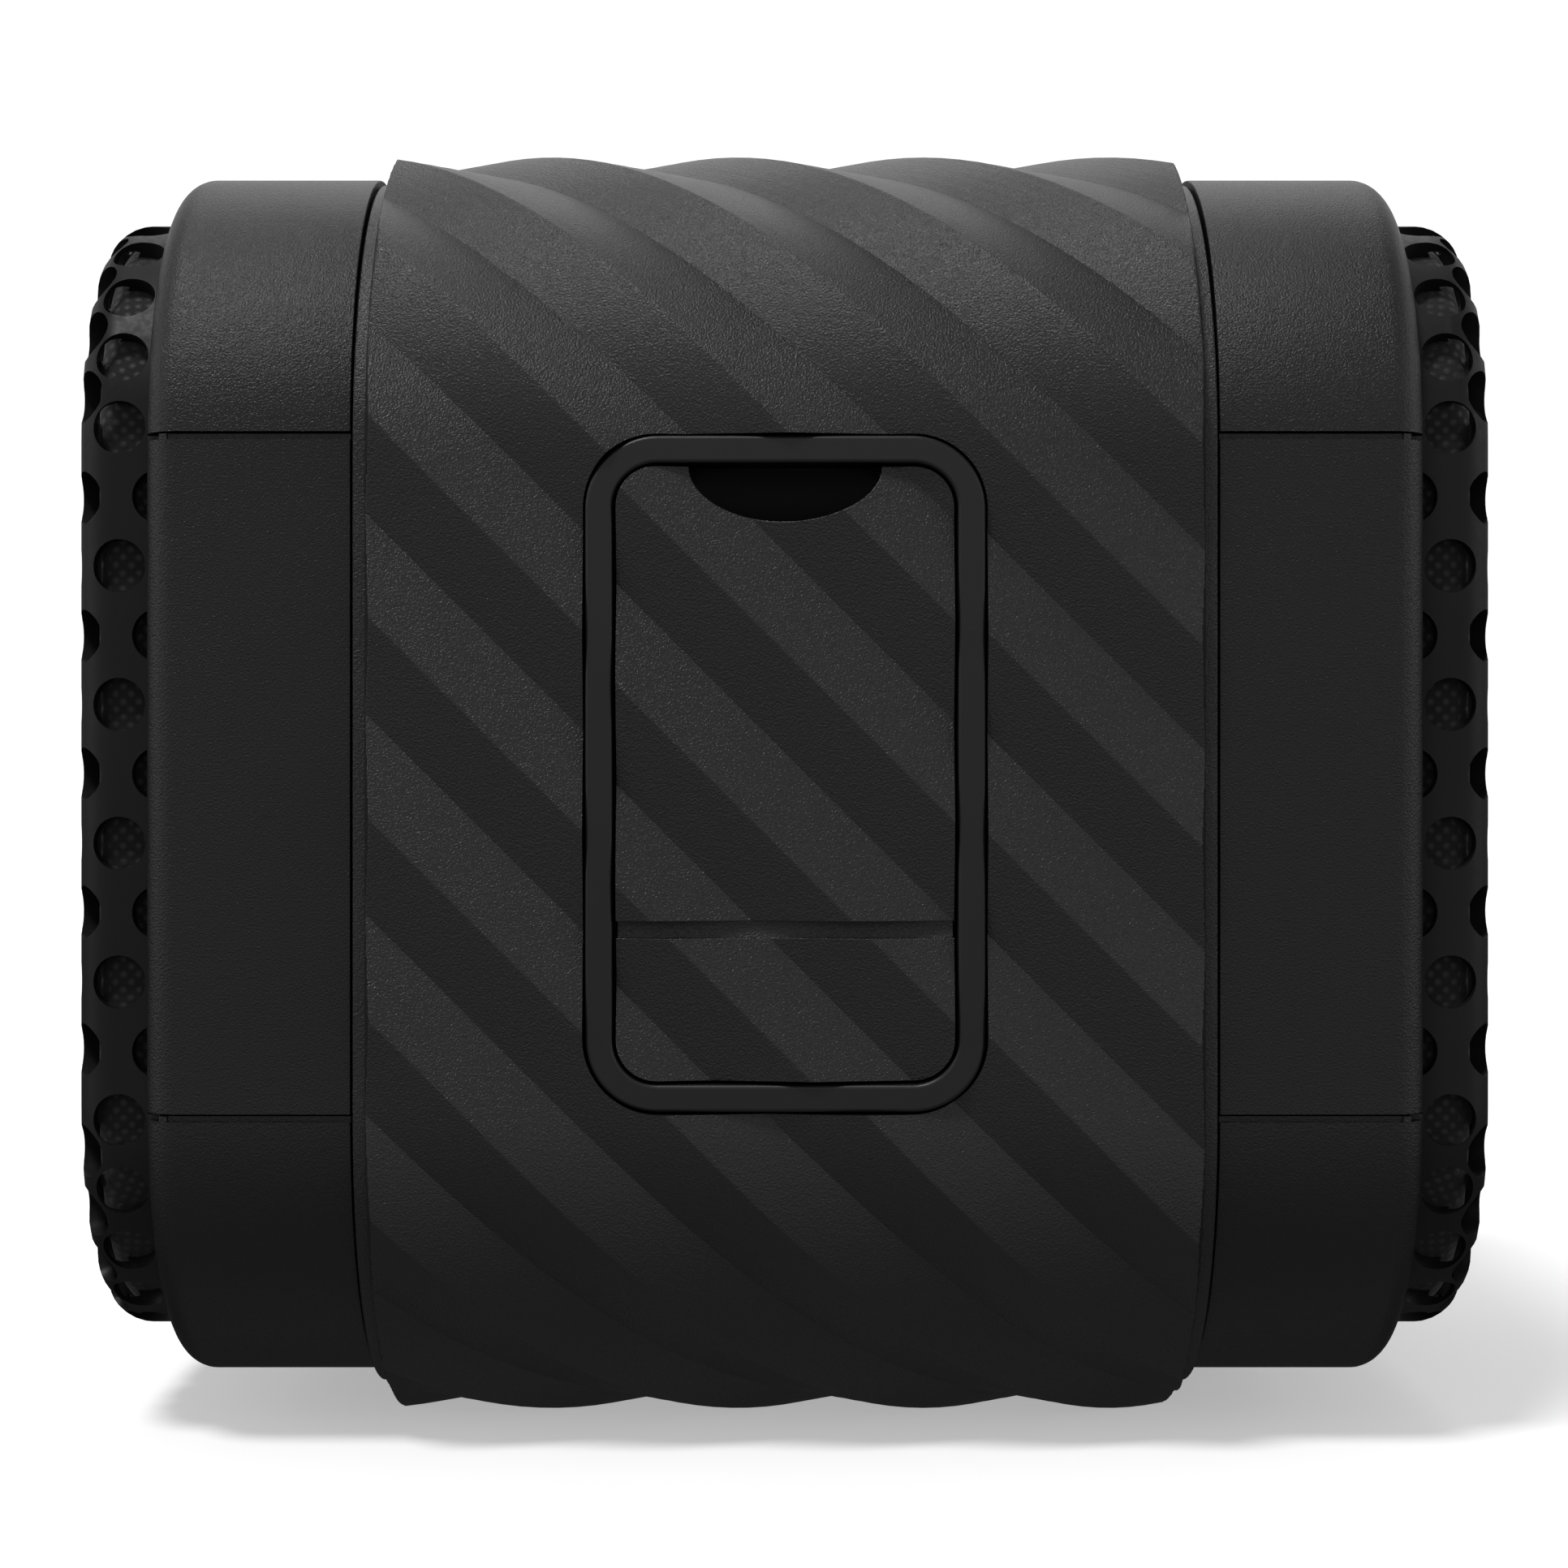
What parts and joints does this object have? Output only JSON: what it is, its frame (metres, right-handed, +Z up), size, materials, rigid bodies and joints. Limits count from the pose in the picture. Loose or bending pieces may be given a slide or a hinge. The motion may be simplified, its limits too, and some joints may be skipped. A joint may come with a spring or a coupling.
{
  "type": "portable speaker",
  "caption": "Boxy water-resistant portable speaker with perforated end grilles, a ridged rubber sleeve, a fold-down port door and push-button controls.",
  "frame": {"origin": "centre of the footprint, on the surface the speaker stands on", "axes": "+X along the speaker's long axis, +Z up, -Y the port side, +Y the control side"},
  "size_m": [0.1024, 0.0962, 0.0963],
  "materials": {
    "housing_plastic": "fine moulded grain, satin black",
    "sleeve_rubber": "fine grained matte black rubber",
    "frame_plastic": "smooth satin black",
    "chassis_plastic": "matte",
    "grille_metal": "satin black paint",
    "grille_cloth": "black acoustic cloth with raised dots",
    "gasket_rubber": "matte black",
    "plated_steel": "plated",
    "magnet_ferrite": "sintered grey",
    "cone_paper": "pressed black cone",
    "jack_plastic": "glossy black",
    "button_rubber": "matte rubber",
    "light_pipe_plastic": "frosted clear",
    "circuit_board": "solder mask",
    "battery_wrap": "shrink wrap"
  },
  "bodies": {
    "housing": {"aux_jack": "jack_plastic", "battery_cell_front": "battery_wrap", "battery_cell_rear": "battery_wrap", "battery_clamp": "chassis_plastic", "battery_tray": "chassis_plastic", "center_sleeve": "sleeve_rubber", "chassis_barrel": "chassis_plastic", "control_board": "circuit_board", "control_frame": "frame_plastic", "control_panel": "frame_plastic", "led_light_pipe": "light_pipe_plastic", "left_back_panel": "housing_plastic", "left_baffle": "chassis_plastic", "left_bottom_shell": "housing_plastic", "left_driver_basket": "plated_steel", "left_driver_gasket": "gasket_rubber", "left_driver_magnet": "magnet_ferrite", "left_driver_screw_1": "plated_steel", "left_driver_screw_2": "plated_steel", "left_driver_screw_3": "plated_steel", "left_driver_screw_4": "plated_steel", "left_front_panel": "housing_plastic", "left_grille": "grille_metal", "left_grille_cloth": "grille_cloth", "left_surround": "gasket_rubber", "left_top_shell": "housing_plastic", "main_board": "circuit_board", "microphone": "plated_steel", "port_frame": "frame_plastic", "port_hinge_web": "sleeve_rubber", "port_panel": "frame_plastic", "port_tab": "sleeve_rubber", "right_back_panel": "housing_plastic", "right_baffle": "chassis_plastic", "right_bottom_shell": "housing_plastic", "right_driver_basket": "plated_steel", "right_driver_gasket": "gasket_rubber", "right_driver_magnet": "magnet_ferrite", "right_driver_screw_1": "plated_steel", "right_driver_screw_2": "plated_steel", "right_driver_screw_3": "plated_steel", "right_driver_screw_4": "plated_steel", "right_front_panel": "housing_plastic", "right_grille": "grille_metal", "right_grille_cloth": "grille_cloth", "right_surround": "gasket_rubber", "right_top_shell": "housing_plastic", "usb_socket": "plated_steel"},
    "port_door": {"port_door": "sleeve_rubber", "usb_plug": "sleeve_rubber", "aux_plug": "sleeve_rubber"},
    "left_cone": {"left_cone": "cone_paper"},
    "right_cone": {"right_cone": "cone_paper"},
    "power_button": {"power_button": "button_rubber"},
    "volume_up_button": {"volume_up_button": "button_rubber"},
    "play_button": {"play_button": "button_rubber"},
    "volume_down_button": {"volume_down_button": "button_rubber"},
    "pairing_button": {"pairing_button": "button_rubber"}
  },
  "joints": [
    {"name": "port_door_fold", "type": "hinge", "parent": "housing", "child": "port_door", "pos_m": [0, -0.04784, 0.03785], "axis": [1, 0, 0], "range_deg": [0, 115], "stiffness_Nm_per_rad": 0.0012},
    {"name": "power_button_press", "type": "slide", "parent": "housing", "child": "power_button", "axis": [0, -1, 0], "range_m": [0, 0.0006], "stiffness_N_per_m": 800},
    {"name": "volume_up_button_press", "type": "slide", "parent": "housing", "child": "volume_up_button", "axis": [0, -1, 0], "range_m": [0, 0.0006], "stiffness_N_per_m": 800},
    {"name": "play_button_press", "type": "slide", "parent": "housing", "child": "play_button", "axis": [0, -1, 0], "range_m": [0, 0.0006], "stiffness_N_per_m": 800},
    {"name": "volume_down_button_press", "type": "slide", "parent": "housing", "child": "volume_down_button", "axis": [0, -1, 0], "range_m": [0, 0.0006], "stiffness_N_per_m": 800},
    {"name": "pairing_button_press", "type": "slide", "parent": "housing", "child": "pairing_button", "axis": [0, -1, 0], "range_m": [0, 0.0006], "stiffness_N_per_m": 800},
    {"name": "left_cone_travel", "type": "slide", "parent": "housing", "child": "left_cone", "axis": [-1, 0, 0], "range_m": [-0.0015, 0.0015], "stiffness_N_per_m": 1500},
    {"name": "right_cone_travel", "type": "slide", "parent": "housing", "child": "right_cone", "axis": [1, 0, 0], "range_m": [-0.0015, 0.0015], "stiffness_N_per_m": 1500}
  ]
}
